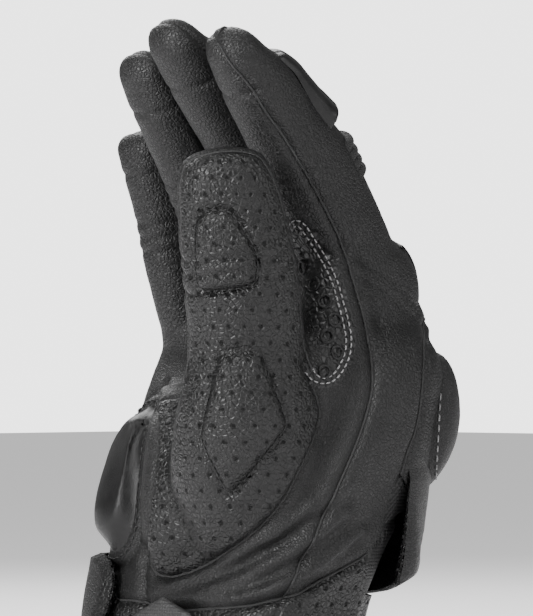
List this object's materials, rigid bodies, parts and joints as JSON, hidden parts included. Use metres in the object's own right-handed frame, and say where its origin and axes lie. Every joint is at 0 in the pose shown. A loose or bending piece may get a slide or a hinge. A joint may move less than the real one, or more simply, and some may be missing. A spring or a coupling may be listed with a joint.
{
  "type": "riding glove",
  "caption": "Right-hand short-cuff leather riding glove with hard sliders, perforated thumb and palm, ribbed stretch panels and a wrist strap.",
  "frame": {"origin": "centre of the wrist opening", "axes": "+Z from the wrist opening to the fingertips, -X out of the palm, +X out of the back of the hand, -Y to the thumb side"},
  "size_m": [0.1091, 0.1104, 0.2159],
  "materials": {
    "leather": "fine-grain black leather",
    "perforated": "perforated black leather",
    "hard": "satin thermoplastic urethane",
    "rubber": "matt embossed rubber",
    "stretch": "ribbed stretch fabric",
    "lining": "soft lining",
    "foam": "closed-cell foam"
  },
  "bodies": {
    "hand": {"back_lining": "lining", "back_panel": "leather", "cuff_back_panel": "leather", "cuff_flap": "leather", "cuff_palm_panel": "perforated", "hook_pad": "lining", "index_root": "leather", "knuckle_foam": "foam", "knuckle_guard": "hard", "little_cuff_tab": "leather", "little_root": "leather", "little_side_strip": "leather", "middle_root": "leather", "palm_lining": "lining", "palm_panel": "perforated", "palm_slider": "hard", "palm_slider_flange": "leather", "ring_root": "leather", "strap_anchor": "rubber", "thenar_panel": "perforated", "thumb_lower_pad": "leather", "thumb_side_panel": "leather", "web_grip_patch": "rubber", "web_panel": "leather", "wrist_bump": "leather"},
    "index_near": {"index_near_back": "leather", "index_near_front": "leather", "index_accordion": "stretch"},
    "index_tip": {"index_tip_back": "leather", "index_tip_front": "leather", "index_slider": "hard"},
    "middle_near": {"middle_near_back": "leather", "middle_near_front": "leather", "middle_accordion": "stretch"},
    "middle_tip": {"middle_tip_back": "leather", "middle_tip_front": "leather", "middle_slider": "hard"},
    "ring_near": {"ring_near_back": "leather", "ring_near_front": "leather", "ring_accordion": "stretch"},
    "ring_tip": {"ring_tip_back": "leather", "ring_tip_front": "leather", "ring_slider": "hard"},
    "little_near": {"little_near_back": "leather", "little_near_front": "leather", "little_accordion": "stretch"},
    "little_tip": {"little_tip_back": "leather", "little_tip_front": "leather", "little_slider": "hard"},
    "thumb_near": {"thumb_near_front": "perforated", "thumb_near_back": "perforated", "thumb_upper_pad": "leather"},
    "thumb_tip": {"thumb_tip_front": "perforated", "thumb_tip_back": "perforated"},
    "strap": {"strap": "rubber"}
  },
  "joints": [
    {"name": "index_knuckle", "type": "hinge", "parent": "hand", "child": "index_near", "pos_m": [0.02, -0.037, 0.128], "axis": [0, -1, 0], "range_deg": [-20, 3], "stiffness_Nm_per_rad": 0.3},
    {"name": "index_middle_joint", "type": "hinge", "parent": "index_near", "child": "index_tip", "pos_m": [-0.01056, -0.037, 0.17007], "axis": [0, -1, 0], "range_deg": [-10, 6], "stiffness_Nm_per_rad": 0.3},
    {"name": "middle_knuckle", "type": "hinge", "parent": "hand", "child": "middle_near", "pos_m": [0.021, -0.012, 0.132], "axis": [0, -1, 0], "range_deg": [-20, 8], "stiffness_Nm_per_rad": 0.3},
    {"name": "middle_middle_joint", "type": "hinge", "parent": "middle_near", "child": "middle_tip", "pos_m": [-0.00752, -0.012, 0.17428], "axis": [0, -1, 0], "range_deg": [-12, 16], "stiffness_Nm_per_rad": 0.3},
    {"name": "ring_knuckle", "type": "hinge", "parent": "hand", "child": "ring_near", "pos_m": [0.019, 0.012, 0.128], "axis": [0, -1, 0], "range_deg": [-20, 40], "stiffness_Nm_per_rad": 0.3},
    {"name": "ring_middle_joint", "type": "hinge", "parent": "ring_near", "child": "ring_tip", "pos_m": [-0.0066, 0.012, 0.16742], "axis": [0, -1, 0], "range_deg": [-10, 45], "stiffness_Nm_per_rad": 0.3},
    {"name": "little_knuckle", "type": "hinge", "parent": "hand", "child": "little_near", "pos_m": [0.015, 0.035, 0.118], "axis": [0, -1, 0], "range_deg": [-12, 45], "stiffness_Nm_per_rad": 0.3},
    {"name": "little_middle_joint", "type": "hinge", "parent": "little_near", "child": "little_tip", "pos_m": [0.00269, 0.035, 0.15183], "axis": [0, -1, 0], "range_deg": [-10, 50], "stiffness_Nm_per_rad": 0.3},
    {"name": "thumb_knuckle", "type": "hinge", "parent": "hand", "child": "thumb_near", "pos_m": [-0.0352, -0.0345, 0.112], "axis": [-0.7045, 0.7045, -0.0854], "range_deg": [-25, 2], "stiffness_Nm_per_rad": 0.3},
    {"name": "thumb_middle_joint", "type": "hinge", "parent": "thumb_near", "child": "thumb_tip", "pos_m": [-0.04509, -0.04, 0.14828], "axis": [-0.7045, 0.7045, -0.0854], "range_deg": [-8, 3], "stiffness_Nm_per_rad": 0.3},
    {"name": "strap_opening", "type": "hinge", "parent": "hand", "child": "strap", "pos_m": [-0.0354, 0.0204, 0.0038], "axis": [0, -0.4226, -0.9063], "range_deg": [0, 100]}
  ]
}
